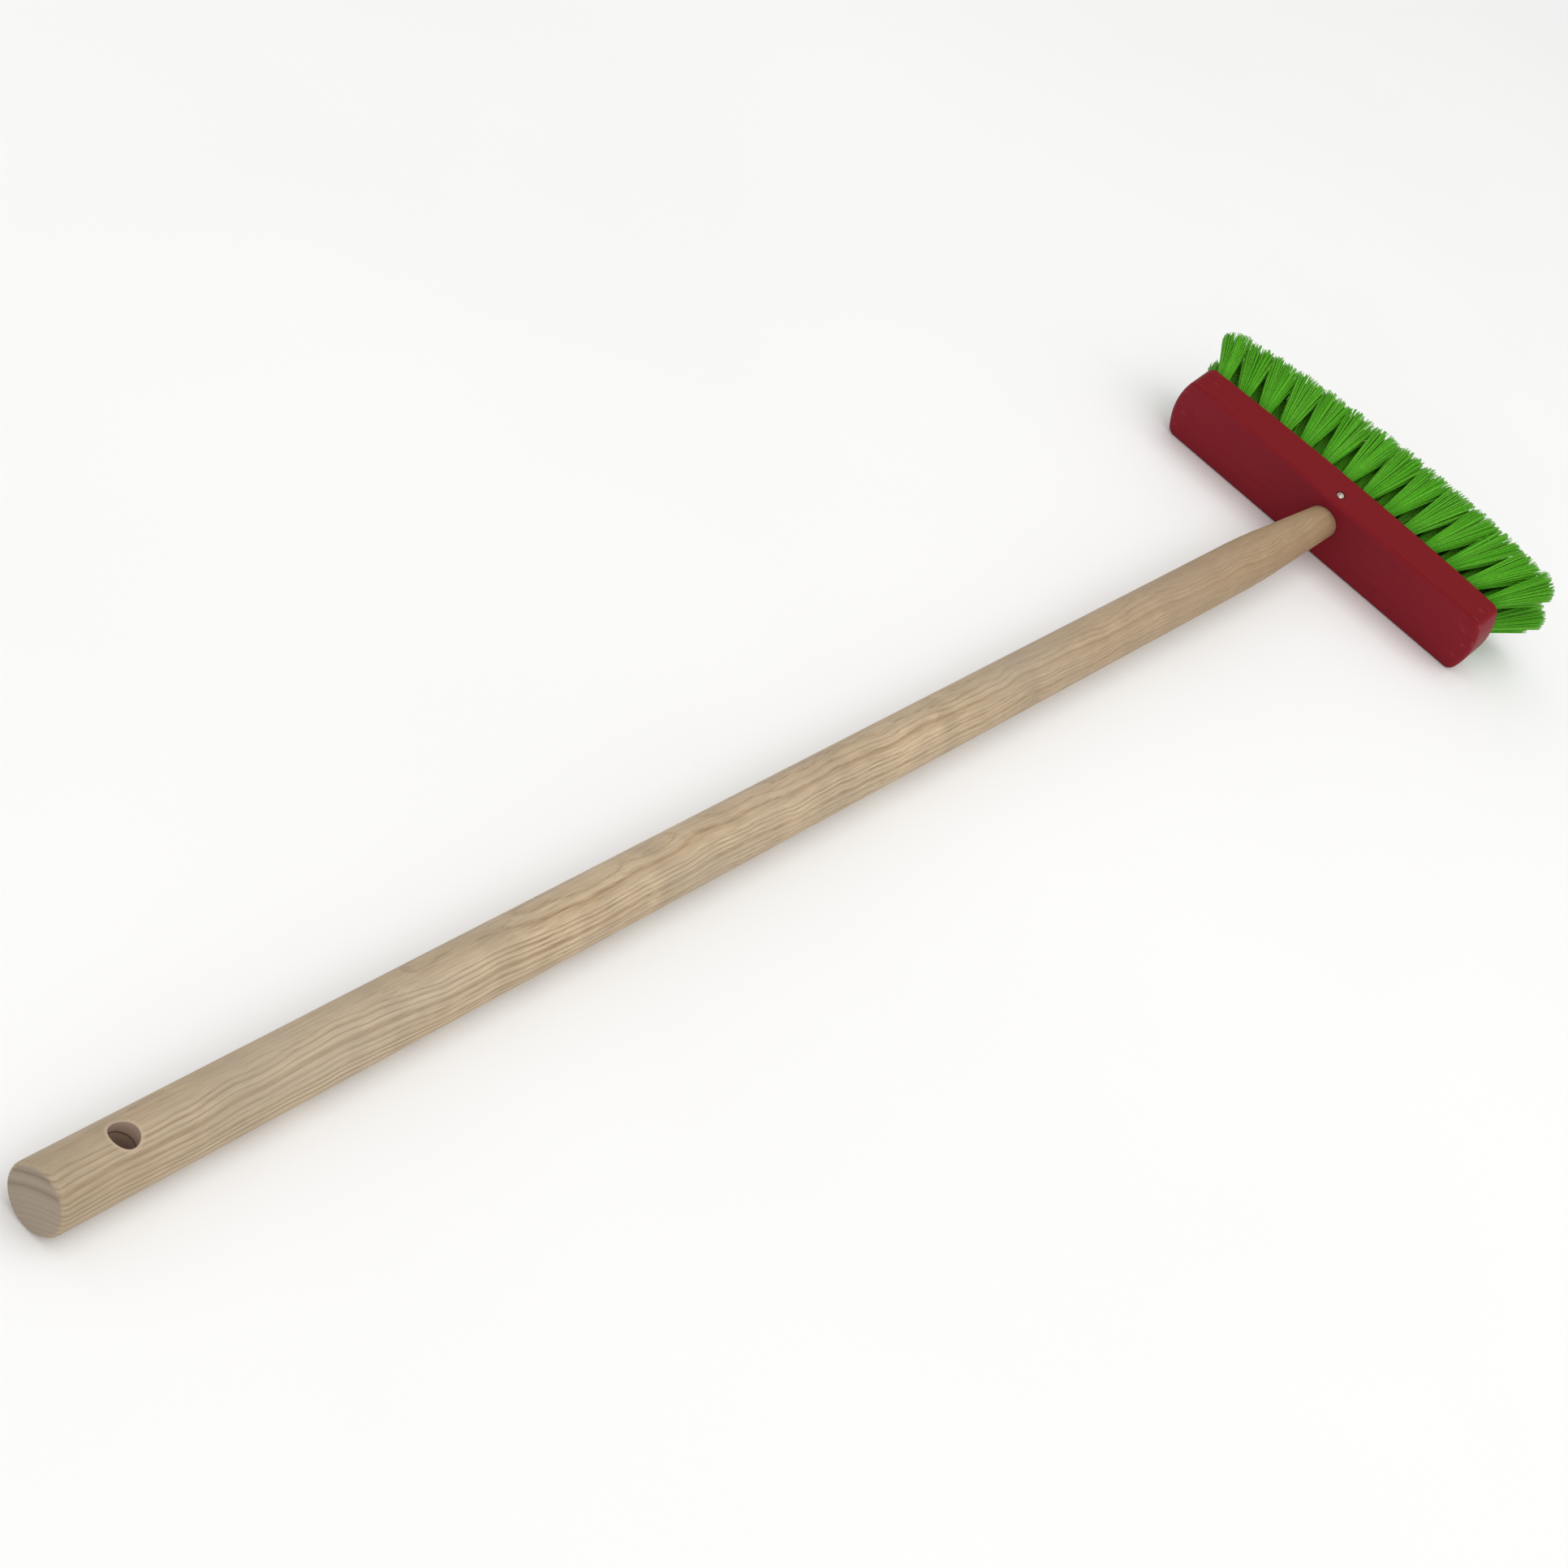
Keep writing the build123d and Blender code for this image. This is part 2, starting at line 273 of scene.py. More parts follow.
def poresAndFibres(wood, colour, waved, own, season, look):
    # brown pores as dashes in the early wood, pale fibres between them, and a faint ripple across the grain,
    # as the light catches wavy fibres; gives the colour, the pores and the fibres
    porePlace = addNode(wood, "Mapping", {"Vector": waved, "Scale": alongStick(*look["poreSize"])}).outputs[0]
    poreNoise = {"Vector": porePlace, "Scale": 1.0, "Detail": 2.0, "Roughness": 0.6}
    porous = addNode(wood, "TexNoise", poreNoise).outputs["Fac"]
    pore = addNode(wood, "MapRange", [porous, *look["pores"]]).outputs[0]
    early = addNode(wood, "MapRange", [season, *look["earlyWood"]]).outputs[0]
    pores = addNode(wood, "Math", [pore, early], operation="MULTIPLY").outputs[0]
    pored = addNode(wood, "Mix", {0: pores, 6: colour, 7: look["pore"]}, data_type="RGBA").outputs[2]
    fibrePlace = addNode(wood, "Mapping", {"Vector": waved, "Scale": alongStick(*look["fibreSize"])}).outputs[0]
    fibreNoise = {"Vector": fibrePlace, "Scale": 1.0, "Detail": 3.0, "Roughness": 0.65}
    fibres = addNode(wood, "TexNoise", fibreNoise).outputs["Fac"]
    fibreTone = addNode(wood, "MapRange", [fibres, *look["fibres"]]).outputs[0]
    fibred = addNode(wood, "VectorMath", {0: pored, "Scale": fibreTone}, operation="SCALE").outputs[0]
    lie = {"Vector": own, "Rotation": (0, 0, look["rippleTurn"]), "Scale": alongStick(*look["rippleSize"])}
    ripplePlace = addNode(wood, "Mapping", lie).outputs[0]
    ripple = addNode(wood, "TexNoise", {"Vector": ripplePlace, "Scale": 1.0, "Detail": 1.0}).outputs["Fac"]
    rippleTone = addNode(wood, "MapRange", [ripple, *look["ripples"]]).outputs[0]
    rippled = addNode(wood, "VectorMath", {0: fibred, "Scale": rippleTone}, operation="SCALE").outputs[0]
    return rippled, pores, fibres


def ageAndUse(wood, colour, own, towardsBlock, look):
    # grey stretches, browner towards the block, darker where hands hold it; gives the colour and the grey stretches
    patchPlace = addNode(wood, "Mapping", {"Vector": own, "Scale": alongStick(*look["patchSize"])}).outputs[0]
    patches = addNode(wood, "TexNoise", {"Vector": patchPlace, "Scale": 1.0, "Detail": 2.0}).outputs["Fac"]
    patch = addNode(wood, "MapRange", [patches, *look["patches"]]).outputs[0]
    patched = addNode(wood, "Mix", {0: patch, 6: colour, 7: look["grey"]}, data_type="RGBA").outputs[2]
    browned = addNode(wood, "MapRange", [towardsBlock, *look["browned"]]).outputs[0]
    warmed = addNode(wood, "Mix", {0: browned, 6: patched, 7: look["warm"]}, data_type="RGBA").outputs[2]
    held = addNode(wood, "MapRange", [towardsBlock, *look["held"]]).outputs[0]
    return addNode(wood, "Mix", {0: held, 6: warmed, 7: look["handled"]}, data_type="RGBA").outputs[2], patches


def sawnEnds(wood, colour, normal, radius, look):
    # greyer, with two dark years that show as curved streaks
    facing = addNode(wood, "VectorMath", [normal, stickRun], operation="DOT_PRODUCT").outputs["Value"]
    endOn = addNode(wood, "Math", [facing], operation="ABSOLUTE").outputs[0]
    ended = addNode(wood, "MapRange", [endOn, *look["sawn"]]).outputs[0]
    sawn = addNode(wood, "Mix", {0: ended, 6: colour, 7: look["endGrain"]}, data_type="RGBA").outputs[2]
    across = addNode(wood, "MapRange", [radius, look["streakStart"], look["streakEnd"]]).outputs[0]
    streaks = addNode(wood, "ValToRGB", [across], look["streaks"]).outputs[0]
    onEnd = addNode(wood, "Math", [streaks, ended], operation="MULTIPLY").outputs[0]
    show = addNode(wood, "Math", [onEnd, look["streakShare"]], operation="MULTIPLY").outputs[0]
    return addNode(wood, "Mix", {0: show, 6: sawn, 7: look["crack"]}, data_type="RGBA").outputs[2]


def drilledHole(wood, colour, place, sway, look):
    # a brown rough wall with a worn, paler rim, and a dark drying crack across the wall
    fromHole = addNode(wood, "VectorMath", [place, hangingHole], operation="SUBTRACT").outputs[0]
    level = addNode(wood, "VectorMath", [fromHole, (1, 1, 0)], operation="MULTIPLY").outputs[0]
    distance = addNode(wood, "VectorMath", [level], operation="LENGTH").outputs["Value"]
    wallStarts, wallEnds = (hangingRadius + reach for reach in look["wallReach"])
    wall = addNode(wood, "MapRange", [distance, wallStarts, wallEnds, 1.0, 0.0]).outputs[0]
    rimEnds = hangingRadius + look["rimReach"]
    rim = addNode(wood, "MapRange", [distance, rimEnds, wallEnds, 0.0, look["rimWear"]]).outputs[0]
    rimmed = addNode(wood, "Mix", {0: rim, 6: colour, 7: look["pale"]}, data_type="RGBA").outputs[2]
    drilled = addNode(wood, "Mix", {0: wall, 6: rimmed, 7: look["holeWall"]}, data_type="RGBA").outputs[2]
    crackSway = (0, 0, look["crackSway"])
    crooked = addNode(wood, "VectorMath", [sway, crackSway, fromHole], operation="MULTIPLY_ADD").outputs[0]
    rise = addNode(wood, "SeparateXYZ", [crooked]).outputs["Z"]
    above = addNode(wood, "Math", [rise, look["crackAbove"]], operation="SUBTRACT").outputs[0]
    away = addNode(wood, "Math", [above], operation="ABSOLUTE").outputs[0]
    crack = addNode(wood, "MapRange", [away, *look["crackFade"]]).outputs[0]
    onWall = addNode(wood, "Math", [crack, wall], operation="MULTIPLY").outputs[0]
    return addNode(wood, "Mix", {0: onWall, 6: drilled, 7: look["crack"]}, data_type="RGBA").outputs[2]


def ashWood():
    # Ash, turned and sanded, nearly bare: dull pale wood with long growth lines, brown pores and greyer ends.
    look = ashWoodLook
    wood, shader = newMaterial("ash wood", IOR=1.5, Specular_IOR_Level=look["specular"])
    coordinates = addNode(wood, "TexCoord")
    place, normal = coordinates.outputs["Object"], coordinates.outputs["Normal"]
    lie = {"Vector": place, "Location": gripEnd, "Rotation": (math.asin(stickRun.z), 0, 0)}
    own = addNode(wood, "Mapping", lie, vector_type="TEXTURE").outputs[0]    # y runs along the stick from the grip end
    towardsBlock = addNode(wood, "SeparateXYZ", [own]).outputs["Y"]
    sway, waved = wavyGrain(wood, own, look)
    radius, years, season = growthRings(wood, waved, look)
    colour = growthLines(wood, years, season, normal, towardsBlock, look)
    colour, pores, fibres = poresAndFibres(wood, colour, waved, own, season, look)
    colour, patches = ageAndUse(wood, colour, own, towardsBlock, look)
    colour = sawnEnds(wood, colour, normal, radius, look)
    colour = drilledHole(wood, colour, place, sway, look)
    # relief: late wood and fibres stand up, pores sink
    standing = addNode(wood, "Math", [season, look["ringRelief"], fibres], operation="MULTIPLY_ADD").outputs[0]
    sunk = addNode(wood, "Math", [standing, pores], operation="SUBTRACT").outputs[0]
    relief = {"Height": sunk, "Strength": look["reliefStrength"], "Distance": look["relief"]}
    bump = addNode(wood, "Bump", relief).outputs[0]
    rough = addNode(wood, "MapRange", [patches, *look["roughness"]]).outputs[0]
    feed(wood, shader, Base_Color=colour, Normal=bump, Roughness=rough)
    return wood


lacquerLook = {
    "specular": 0.05,
    "face": "#7b202a",
    "bright": "#7f1e27",
    # painted shade: a darker red for the block's upper side
    "shadedUpperSide": "#74171b",
    "upper": (0.35, 0.9),    # span of the painted shade, by how far a spot faces the block's upper side
    "cloud": 62.5 * mm,    # size of the cloudy coats
    "clouds": (0.3, 0.7),    # span
    "grainSize": (71.43 * mm, 0.9 * mm, 0.9 * mm),    # wood grain that still shows through
    "grain": (0.3, 0.7, 0.93, 1.06),    # span of brightness
    "peel": 1.6 * mm,    # size of the lacquer's orange peel
    "relief": 0.08 * mm,
    "reliefStrength": 0.25,
    "grainRelief": 0.6,    # beside the peel's 1
    "worn": "#8c4644",
    "rubFrom": 1.6 * mm,    # a long edge is rubbed between these distances from it
    "rubTo": 0.3 * mm,
    "rubSize": 4.167 * mm,    # of a rubbed spot
    "rub": (0.56, 0.74, 0.0, 0.35),    # span
    "scuffFrom": 16 * mm,    # the same for the block's ends
    "scuffTo": 4 * mm,
    "scuffSize": (7.143 * mm, 1.4286 * mm, 4.167 * mm),
    "scuffTurn": (0.3, 0.5, 0.2),
    "scuff": (0.6, 0.7, 0.0, 0.55),    # span
    "roughness": (0.0, 1.0, 0.4, 0.65),    # span, rougher where worn
}


def redLacquer():
    # Nitro lacquer sprayed over a beech block: an even dark red with a soft shine, faint grain and rubbed edges.
    look = lacquerLook
    lacquer, shader = newMaterial("red lacquered beech", IOR=1.5, Specular_IOR_Level=look["specular"])
    coordinates = addNode(lacquer, "TexCoord")
    place, normal = coordinates.outputs["Object"], coordinates.outputs["Normal"]
    # the block's own frame: x along it, y into it from the stick's side, z across it
    lie = {"Vector": place, "Location": blockFront, "Rotation": (blockTurn, 0, 0)}
    own = addNode(lacquer, "Mapping", lie, vector_type="TEXTURE").outputs[0]
    split = addNode(lacquer, "SeparateXYZ", [own])
    # cloudy coats
    cloudNoise = {"Vector": own, "Scale": 1 / look["cloud"], "Detail": 3.0, "Roughness": 0.5}
    cloudy = addNode(lacquer, "TexNoise", cloudNoise).outputs["Fac"]
    cloud = addNode(lacquer, "MapRange", [cloudy, *look["clouds"]]).outputs[0]
    coat = addNode(lacquer, "Mix", {0: cloud, 6: look["face"], 7: look["bright"]}, data_type="RGBA").outputs[2]
    # the upper side got the last, redder coat
    # painted shade: the block's upper side is painted a darker red, by how far it faces that way
    lift = addNode(lacquer, "VectorMath", [normal, blockUp], operation="DOT_PRODUCT").outputs["Value"]
    upper = addNode(lacquer, "MapRange", [lift, *look["upper"]]).outputs[0]
    coatAndShade = addNode(lacquer, "Mix", {0: upper, 6: coat, 7: look["shadedUpperSide"]}, data_type="RGBA").outputs[2]
    # grain lines along the block
    grainPlace = addNode(lacquer, "Mapping", {"Vector": own, "Scale": patternScale(*look["grainSize"])}).outputs[0]
    grainNoise = {"Vector": grainPlace, "Scale": 1.0, "Detail": 2.0, "Roughness": 0.6}
    grain = addNode(lacquer, "TexNoise", grainNoise).outputs["Fac"]
    grainTone = addNode(lacquer, "MapRange", [grain, *look["grain"]]).outputs[0]
    grained = addNode(lacquer, "VectorMath", {0: coatAndShade, "Scale": grainTone}, operation="SCALE").outputs[0]
    # rubbed long edges: only where both faces are near
    across = addNode(lacquer, "Math", [split.outputs["Z"]], operation="ABSOLUTE").outputs[0]
    sideBand = (blockHalfWidth - look["rubFrom"], blockHalfWidth - look["rubTo"])
    nearSide = addNode(lacquer, "MapRange", [across, *sideBand]).outputs[0]
    nearFront = addNode(lacquer, "MapRange", [split.outputs["Y"], look["rubFrom"], look["rubTo"]]).outputs[0]
    edge = addNode(lacquer, "Math", [nearSide, nearFront], operation="MULTIPLY").outputs[0]
    rubNoise = {"Vector": own, "Scale": 1 / look["rubSize"], "Detail": 3.0, "Roughness": 0.7}
    rubbed = addNode(lacquer, "TexNoise", rubNoise).outputs["Fac"]
    rub = addNode(lacquer, "MapRange", [rubbed, *look["rub"]]).outputs[0]
    edgeRub = addNode(lacquer, "Math", [edge, rub], operation="MULTIPLY").outputs[0]
    # scuffs near the ends, where a broom meets the walls
    along = addNode(lacquer, "Math", [split.outputs["X"]], operation="ABSOLUTE").outputs[0]
    endBand = (blockHalfLength - look["scuffFrom"], blockHalfLength - look["scuffTo"])
    nearEnd = addNode(lacquer, "MapRange", [along, *endBand]).outputs[0]
    scuffLie = {"Vector": own, "Rotation": look["scuffTurn"], "Scale": patternScale(*look["scuffSize"])}
    scuffPlace = addNode(lacquer, "Mapping", scuffLie).outputs[0]
    scuffNoise = addNode(lacquer, "TexNoise", {"Vector": scuffPlace, "Scale": 1.0, "Detail": 2.0}).outputs["Fac"]
    scuff = addNode(lacquer, "MapRange", [scuffNoise, *look["scuff"]]).outputs[0]
    endScuff = addNode(lacquer, "Math", [nearEnd, scuff], operation="MULTIPLY").outputs[0]
    wear = addNode(lacquer, "Math", [edgeRub, endScuff], operation="MAXIMUM").outputs[0]
    worn = addNode(lacquer, "Mix", {0: wear, 6: grained, 7: look["worn"]}, data_type="RGBA").outputs[2]
    # orange peel and grain as relief
    peel = addNode(lacquer, "TexNoise", {"Vector": own, "Scale": 1 / look["peel"], "Detail": 1.0}).outputs["Fac"]
    height = addNode(lacquer, "Math", [grain, look["grainRelief"], peel], operation="MULTIPLY_ADD").outputs[0]
    relief = {"Height": height, "Strength": look["reliefStrength"], "Distance": look["relief"]}
    bump = addNode(lacquer, "Bump", relief).outputs[0]
    rough = addNode(lacquer, "MapRange", [wear, *look["roughness"]]).outputs[0]
    feed(lacquer, shader, Base_Color=worn, Normal=bump, Roughness=rough)
    return lacquer


bristleLook = {
    "specular": 0.06,
    "roughness": 0.42,
    # root: painted shade, the darker green where the crowded bristles shade each other near the block
    "root": "#2f7a0c",
    "body": "#4aa319",
    "light": "#68b335",
    "tip": "#8fae72",
    "paintedRootShade": (0.05, 0.45),    # span over a bristle's length, of the painted shade at the roots
    "frayed": (0.93, 1.0),    # span over a bristle's length
    "drawing": 1.4286 * mm,    # size of the drawing marks, coarser than real ones so that they show
    "tone": (0.3, 0.7, 0.88, 1.1),    # span of brightness
    "relief": 0.05 * mm,
    "reliefStrength": 0.2,
}


def greenPolypropylene():
    # Extruded polypropylene filament, cut and flagged: clear green with a waxy shine, paler where the cut tips fray,
    # and painted darker at the roots as shade between the crowded bristles.
    look = bristleLook
    plastic, shader = newMaterial("green polypropylene", Roughness=look["roughness"], IOR=1.49,
                                  Specular_IOR_Level=look["specular"])
    along = addNode(plastic, "Attribute", attribute_name="along").outputs["Fac"]
    strand = addNode(plastic, "Attribute", attribute_name="strand").outputs["Fac"]
    bodyColour = addNode(plastic, "Mix", {0: strand, 6: look["body"], 7: look["light"]}, data_type="RGBA").outputs[2]
    # painted shade: darker towards the roots
    paintedRootShade = addNode(plastic, "MapRange", [along, *look["paintedRootShade"]]).outputs[0]
    shaded = addNode(plastic, "Mix", {0: paintedRootShade, 6: look["root"], 7: bodyColour}, data_type="RGBA").outputs[2]
    frayed = addNode(plastic, "MapRange", [along, *look["frayed"]]).outputs[0]
    frayShare = addNode(plastic, "Math", [frayed, strand], operation="MULTIPLY").outputs[0]
    ended = addNode(plastic, "Mix", {0: frayShare, 6: shaded, 7: look["tip"]}, data_type="RGBA").outputs[2]
    place = addNode(plastic, "TexCoord").outputs["Object"]
    drawn = addNode(plastic, "TexNoise", {"Vector": place, "Scale": 1 / look["drawing"], "Detail": 2.0}).outputs["Fac"]
    tone = addNode(plastic, "MapRange", [drawn, *look["tone"]]).outputs[0]
    toned = addNode(plastic, "VectorMath", {0: ended, "Scale": tone}, operation="SCALE").outputs[0]
    relief = {"Height": drawn, "Strength": look["reliefStrength"], "Distance": look["relief"]}
    bump = addNode(plastic, "Bump", relief).outputs[0]
    feed(plastic, shader, Base_Color=toned, Normal=bump)
    return plastic


steelLook = {
    "bright": "#c9c0b4",
    "dull": "#8d8478",
    "hammering": 1.1111 * mm,    # size of a hammer's marks
    "marks": (0.35, 0.65),    # span
    "rust": "#6d4c3a",
    "rustSize": 0.66667 * mm,    # of a rust speck
    "rusting": (0.62, 0.72, 0.0, 0.6),    # span
    "relief": 0.1 * mm,
    "reliefStrength": 0.3,
    "roughness": (0.0, 1.0, 0.38, 0.22),    # span, from dull to bright
}


def nailSteel():
    # Drawn steel wire with a hammered head: bright, with dull flats and specks of rust.
    look = steelLook
    steel, shader = newMaterial("bright nail steel", Metallic=1.0)
    place = addNode(steel, "TexCoord").outputs["Object"]
    hammerNoise = {"Vector": place, "Scale": 1 / look["hammering"], "Detail": 2.0}
    hammered = addNode(steel, "TexNoise", hammerNoise).outputs["Fac"]
    tone = addNode(steel, "MapRange", [hammered, *look["marks"]]).outputs[0]
    metal = addNode(steel, "Mix", {0: tone, 6: look["dull"], 7: look["bright"]}, data_type="RGBA").outputs[2]
    rustNoise = {"Vector": place, "Scale": 1 / look["rustSize"], "Detail": 3.0}
    specked = addNode(steel, "TexNoise", rustNoise).outputs["Fac"]
    rust = addNode(steel, "MapRange", [specked, *look["rusting"]]).outputs[0]
    rusted = addNode(steel, "Mix", {0: rust, 6: metal, 7: look["rust"]}, data_type="RGBA").outputs[2]
    relief = {"Height": hammered, "Strength": look["reliefStrength"], "Distance": look["relief"]}
    bump = addNode(steel, "Bump", relief).outputs[0]
    rough = addNode(steel, "MapRange", [tone, *look["roughness"]]).outputs[0]
    feed(steel, shader, Base_Color=rusted, Normal=bump, Roughness=rough)
    return steel


wireLook = {
    "bright": "#b9b6b0",
    "dull": "#85807a",
    "rolling": (3.3333 * mm, 0.33333 * mm, 0.33333 * mm),    # size of the rolling lines
    "relief": 0.03 * mm,
    "reliefStrength": 0.3,
    "roughness": (0.0, 1.0, 0.3, 0.5),    # span, from dull to bright
}


def anchorWire():
    # Flattened steel wire, cut off a coil: dull grey with rolling lines.
    look = wireLook
    wire, shader = newMaterial("rolled steel wire", Metallic=1.0)
    place = addNode(wire, "TexCoord").outputs["Object"]
    rollPlace = addNode(wire, "Mapping", {"Vector": place, "Scale": patternScale(*look["rolling"])}).outputs[0]
    rolled = addNode(wire, "TexNoise", {"Vector": rollPlace, "Scale": 1.0, "Detail": 2.0}).outputs["Fac"]
    colour = addNode(wire, "Mix", {0: rolled, 6: look["dull"], 7: look["bright"]}, data_type="RGBA").outputs[2]
    relief = {"Height": rolled, "Strength": look["reliefStrength"], "Distance": look["relief"]}
    bump = addNode(wire, "Bump", relief).outputs[0]
    rough = addNode(wire, "MapRange", [rolled, *look["roughness"]]).outputs[0]
    feed(wire, shader, Base_Color=colour, Normal=bump, Roughness=rough)
    return wire


woodMaterial = ashWood()
plasticMaterial = greenPolypropylene()
solidMaterials = {
    "handle": woodMaterial,
    "block": redLacquer(),
    "handle_nail": nailSteel(),
    "tuft_anchors": anchorWire(),
}
for name, material in solidMaterials.items():
    for materialSlot in nodes[name].material_slots:
        materialSlot.material = material
print("materials made")


# Bristles: one is modelled, a few bundles are made of it, and each tuft is a copy of a bundle.
bristle = {
    "thickness": 0.5 * mm,    # a little coarser than real ones, so that fewer of them close the outline
    "sides": 5,
    "stretches": 5,
    "tipStretch": 0.25 * mm,
    "tipWidth": 0.45,    # share of the thickness that is left at the very end
    "spring": 1.3 * mm,    # how far a bristle bends out of line over its length
    "smoothBelow": math.radians(50),
}
tuft = {
    "bristles": 230,
    "bundles": 6,
    "length": 50 * mm,    # from the fold at the bottom of the hole
    "foldRadius": 1.7 * mm,
    "spreadAlong": 9.4 * mm,    # tips reach this far along the block, so that neighbours meet
    "spreadAcross": 5.6 * mm,
    "squareness": 0.72,    # below 1 the tips fill a rounded square, which closes the outline
    "raggedness": 0.3 * mm,
    "turnJitter": 0.25,
    "reachJitter": 0.03,
    "springJitter": 0.5,    # how far apart, in radians, the bristles bend
    "strayShare": 0.02,
    "strayReach": 1.2 * mm,
    "leastStray": 0.3,    # share of the stray reach
    "trimmedEnds": 1.5,    # how much more the outer tufts are cut back on their outer side
    "straighterEnds": 0.35,    # how much less the outermost tufts open on their outer side
    "endsOnly": 6,    # powers that keep a change to the outer tufts
    "rightOnly": 4,
    "wornShare": 0.15,    # swept more on its left, where the tips are worn shorter
    "lowerLonger": 0.2,    # the right end's lower tufts are worn least
}


def onlySelect(*pieces):
    bpy.ops.object.select_all(action="DESELECT")
    for piece in pieces:
        piece.select_set(True)
    bpy.context.view_layer.objects.active = pieces[0]


def modelBristle():
    # a thin prism that bends slightly to one side and ends in a rounded tip
    bpy.ops.object.select_all(action="DESELECT")
    bpy.ops.mesh.primitive_circle_add(vertices=bristle["sides"], radius=bristle["thickness"] / 2, fill_type="NGON")
    piece = bpy.context.object
    bpy.ops.object.mode_set(mode="EDIT")
    bpy.ops.mesh.select_all(action="SELECT")
    rise = tuft["length"] / bristle["stretches"]
    for step in range(bristle["stretches"]):
        lean = bristle["spring"] * ((step + 1) ** 2 - step ** 2) / bristle["stretches"] ** 2
        bpy.ops.mesh.extrude_region_move(TRANSFORM_OT_translate={"value": (lean, 0, rise)})
    bpy.ops.mesh.extrude_region_move(TRANSFORM_OT_translate={"value": (0, 0, bristle["tipStretch"])})
    tipMiddle = (bristle["spring"], 0, tuft["length"])
    bpy.ops.transform.resize(value=(bristle["tipWidth"], bristle["tipWidth"], 1.0), center_override=tipMiddle)
    bpy.ops.mesh.select_all(action="SELECT")
    bpy.ops.mesh.normals_make_consistent(inside=False)
    bpy.ops.object.mode_set(mode="OBJECT")
    bpy.ops.object.shade_smooth_by_angle(angle=bristle["smoothBelow"])
    along = piece.data.attributes.new("along", "FLOAT", "POINT")
    along.data.foreach_set("value", [vertex.co.z / tuft["length"] for vertex in piece.data.vertices])
    piece.data.attributes.new("strand", "FLOAT", "POINT")
    return piece


def modelBundle(master):
    # bristles packed evenly at the fold, each aimed at its place among the tips
    pieces = []
    goldenTurn = math.pi * (3 - math.sqrt(5))
    for number in range(tuft["bristles"]):
        share = math.sqrt((number + 0.5) / tuft["bristles"])
        turn = number * goldenTurn + dice.uniform(-tuft["turnJitter"], tuft["turnJitter"])
        reach = share + dice.gauss(0, tuft["reachJitter"])
        if dice.random() < tuft["strayShare"]:
            reach += dice.uniform(tuft["leastStray"], 1.0) * tuft["strayReach"] / tuft["spreadAcross"]
        way = (math.cos(turn), math.sin(turn))
        start = Vector((*way, 0)) * share * tuft["foldRadius"]
        aside, over = (math.copysign(abs(part) ** tuft["squareness"], part) for part in way)
        end = Vector((aside * tuft["spreadAlong"], over * tuft["spreadAcross"], 0)) * reach
        sideways = end - start
        lean = math.atan2(sideways.length - bristle["spring"], tuft["length"])
        stretch = 1 + dice.uniform(-1, 1) * tuft["raggedness"] / tuft["length"]
        place = Matrix.Translation(start) @ Matrix.Rotation(math.atan2(sideways.y, sideways.x), 4, "Z")
        place = place @ Matrix.Rotation(lean, 4, "Y") @ Matrix.Rotation(dice.gauss(0, tuft["springJitter"]), 4, "Z")
        place = place @ Matrix.Diagonal((1, 1, stretch, 1))
        piece = master.copy()
        piece.data = master.data.copy()
        bpy.context.scene.collection.objects.link(piece)
        piece.data.transform(place)
        tone = dice.random()
        piece.data.attributes["strand"].data.foreach_set("value", [tone] * len(piece.data.vertices))
        pieces.append(piece)
    onlySelect(*pieces)
    bpy.ops.object.join()
    return bpy.context.object


def trimTips(piece, lean, outwards, below, length):
    # the whole brush is cut to one bow, so a leaning tuft ends in a slant
    # outwards runs from -1 to 1 along the block, and below from 0 in its upper row to 1 in its lowest
    atEnd = outwards ** tuft["endsOnly"]
    slant = math.tan(lean * (1 - tuft["trimmedEnds"] * atEnd))
    worn = 1 - tuft["wornShare"] * (1 - outwards) / 2
    worn += tuft["lowerLonger"] * below * max(outwards, 0) ** tuft["rightOnly"]
    narrowed = 1 - tuft["straighterEnds"] * atEnd
    for vertex in piece.data.vertices:
        if vertex.co.x * outwards > 0:
            vertex.co.x *= narrowed
        vertex.co.z *= worn * (1 + slant * vertex.co.x / length)


oneBristle = modelBristle()
bundles = [modelBundle(oneBristle) for number in range(tuft["bundles"])]
lines = {name: lineOf(name) for name in tuftNames}
lastFoot = max(foot.x for foot, tip in lines.values())
rises = [foot.dot(blockUp) for foot, tip in lines.values()]
for number, (name, (foot, tip)) in enumerate(lines.items()):
    direction = (tip - foot).normalized()
    length = (tip - foot).length
    bundle = bundles[number % len(bundles)]
    piece = bundle.copy()
    piece.data = bundle.data.copy()
    piece.name = name.replace("tuft", "bristles")
    bpy.context.scene.collection.objects.link(piece)
    if dice.random() < 0.5:    # half of them turned round, so that neighbours differ
        piece.data.transform(Matrix.Rotation(math.pi, 4, "Z"))
    piece.data.transform(Matrix.Diagonal((1, 1, length / tuft["length"], 1)))
    below = (max(rises) - foot.dot(blockUp)) / (max(rises) - min(rises))
    trimTips(piece, math.asin(direction.x), foot.x / lastFoot, below, length)
    alongBlock = (Vector((1, 0, 0)) - direction * direction.x).normalized()
    turned = Matrix((alongBlock, direction.cross(alongBlock), direction)).transposed().to_4x4()
    piece.data.transform(Matrix.Translation(foot) @ turned)
    piece.data.materials.clear()
    piece.data.materials.append(plasticMaterial)
    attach(piece, "root")
    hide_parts(name)
for piece in [oneBristle, *bundles]:
    bpy.data.objects.remove(piece)
print("tufts made")


# Floor, light and camera.
floorLook = {
    "size": 16.0,
    "paper": "#f6f5f2",
    "mark": "#efeeea",
    "cloud": 333.33 * mm,    # size of the fibre cloud
    "relief": 0.2 * mm,
    "reliefStrength": 0.05,
}


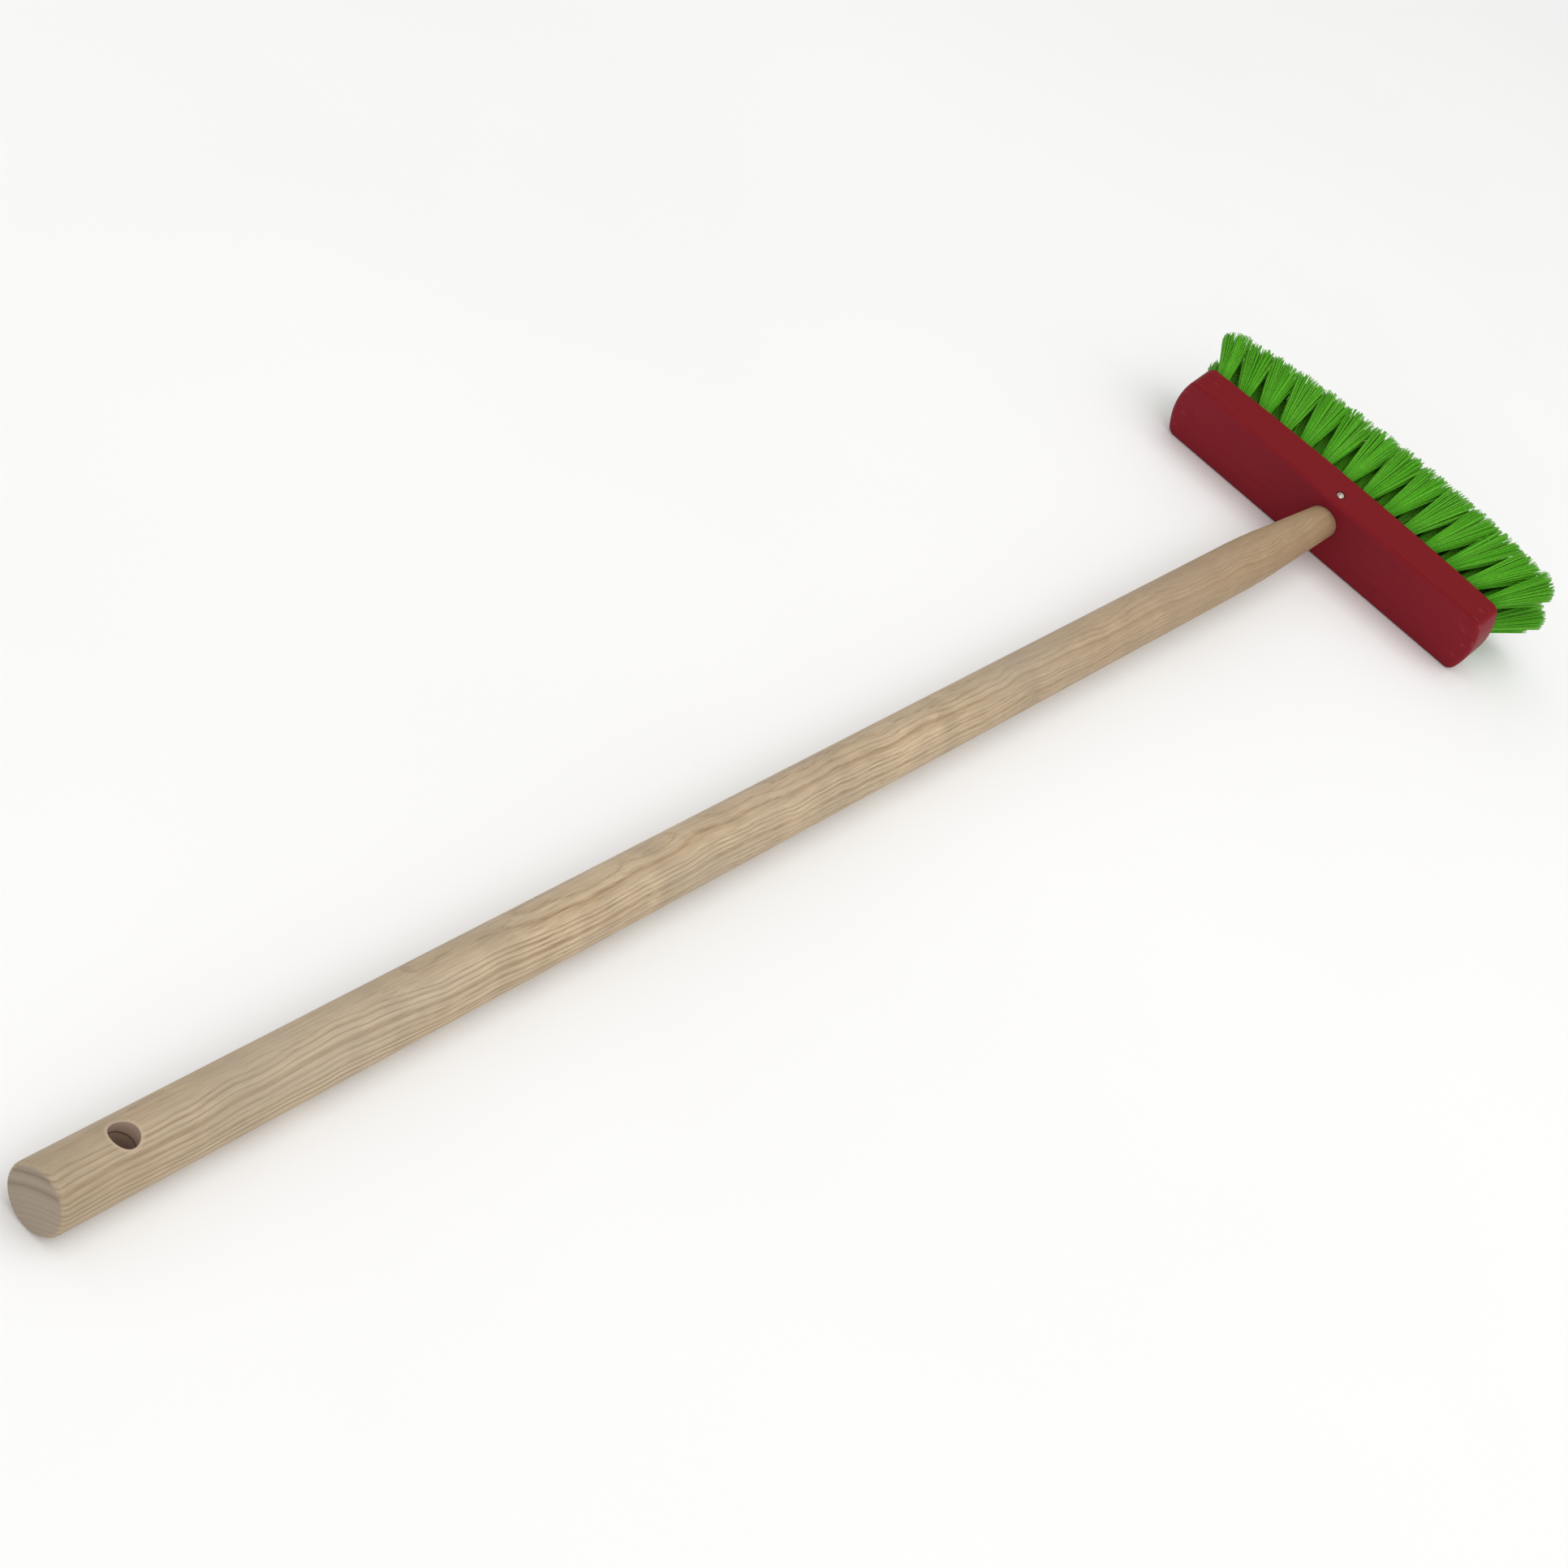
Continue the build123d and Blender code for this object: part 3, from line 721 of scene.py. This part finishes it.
def paperFloor():
    # Matt background paper: near white, with a faint fibre cloud.
    look = floorLook
    paper, shader = newMaterial("background paper", Roughness=0.9, IOR=1.45)
    place = addNode(paper, "TexCoord").outputs["Object"]
    fibres = addNode(paper, "TexNoise", {"Vector": place, "Scale": 1 / look["cloud"], "Detail": 3.0}).outputs["Fac"]
    colour = addNode(paper, "Mix", {0: fibres, 6: look["paper"], 7: look["mark"]}, data_type="RGBA").outputs[2]
    relief = {"Height": fibres, "Strength": look["reliefStrength"], "Distance": look["relief"]}
    bump = addNode(paper, "Bump", relief).outputs[0]
    feed(paper, shader, Base_Color=colour, Normal=bump)
    return paper


bpy.ops.object.select_all(action="DESELECT")
bpy.ops.mesh.primitive_plane_add(size=floorLook["size"], location=(0, 0, 0))
floor = bpy.context.object
floor.name = "floor"
floor.data.materials.append(paperFloor())

overhead = {"place": (0.7, -0.1, 2.2), "size": 3.2, "power": 31}
frontFill = {"from": (1.8, -3.6, 1.8), "spread": math.radians(35), "power": 0.36}    # a sun leaves no edge on the floor
studio = {"colour": "#fafbff", "strength": 0.74}
camera = {
    "place": Vector((0.30024, -0.96372, 0.67818)),
    "right": Vector((0.702632, 0.564342, 0.433390)),
    "up": Vector((-0.659513, 0.287861, 0.694391)),
    "lens": 69.72,
    "sensor": 36,
}


def aimAtBroom(light, place):
    light.rotation_euler = (-Vector(place)).to_track_quat("-Z", "Y").to_euler()


bpy.ops.object.light_add(type="AREA", location=overhead["place"])
softBox = bpy.context.object
softBox.name = "overhead"
softBox.data.size = overhead["size"]
softBox.data.energy = overhead["power"]
aimAtBroom(softBox, overhead["place"])
bpy.ops.object.light_add(type="SUN", location=frontFill["from"])
fill = bpy.context.object
fill.name = "frontFill"
fill.data.angle = frontFill["spread"]
fill.data.energy = frontFill["power"]
aimAtBroom(fill, frontFill["from"])

room = bpy.data.worlds.new("studio")
room.use_nodes = True
room.node_tree.nodes["Background"].inputs["Color"].default_value = toLinear(studio["colour"])
room.node_tree.nodes["Background"].inputs["Strength"].default_value = studio["strength"]
bpy.context.scene.world = room
bpy.context.scene.view_settings.view_transform = "Standard"

bpy.ops.object.camera_add(location=camera["place"])
eye = bpy.context.object
eye.name = "camera"
back = camera["right"].cross(camera["up"])
eye.rotation_euler = Matrix((camera["right"], camera["up"], back)).transposed().to_euler()
eye.data.lens = camera["lens"]
eye.data.sensor_width = camera["sensor"]
bpy.context.scene.camera = eye
print("floor, light and camera set")
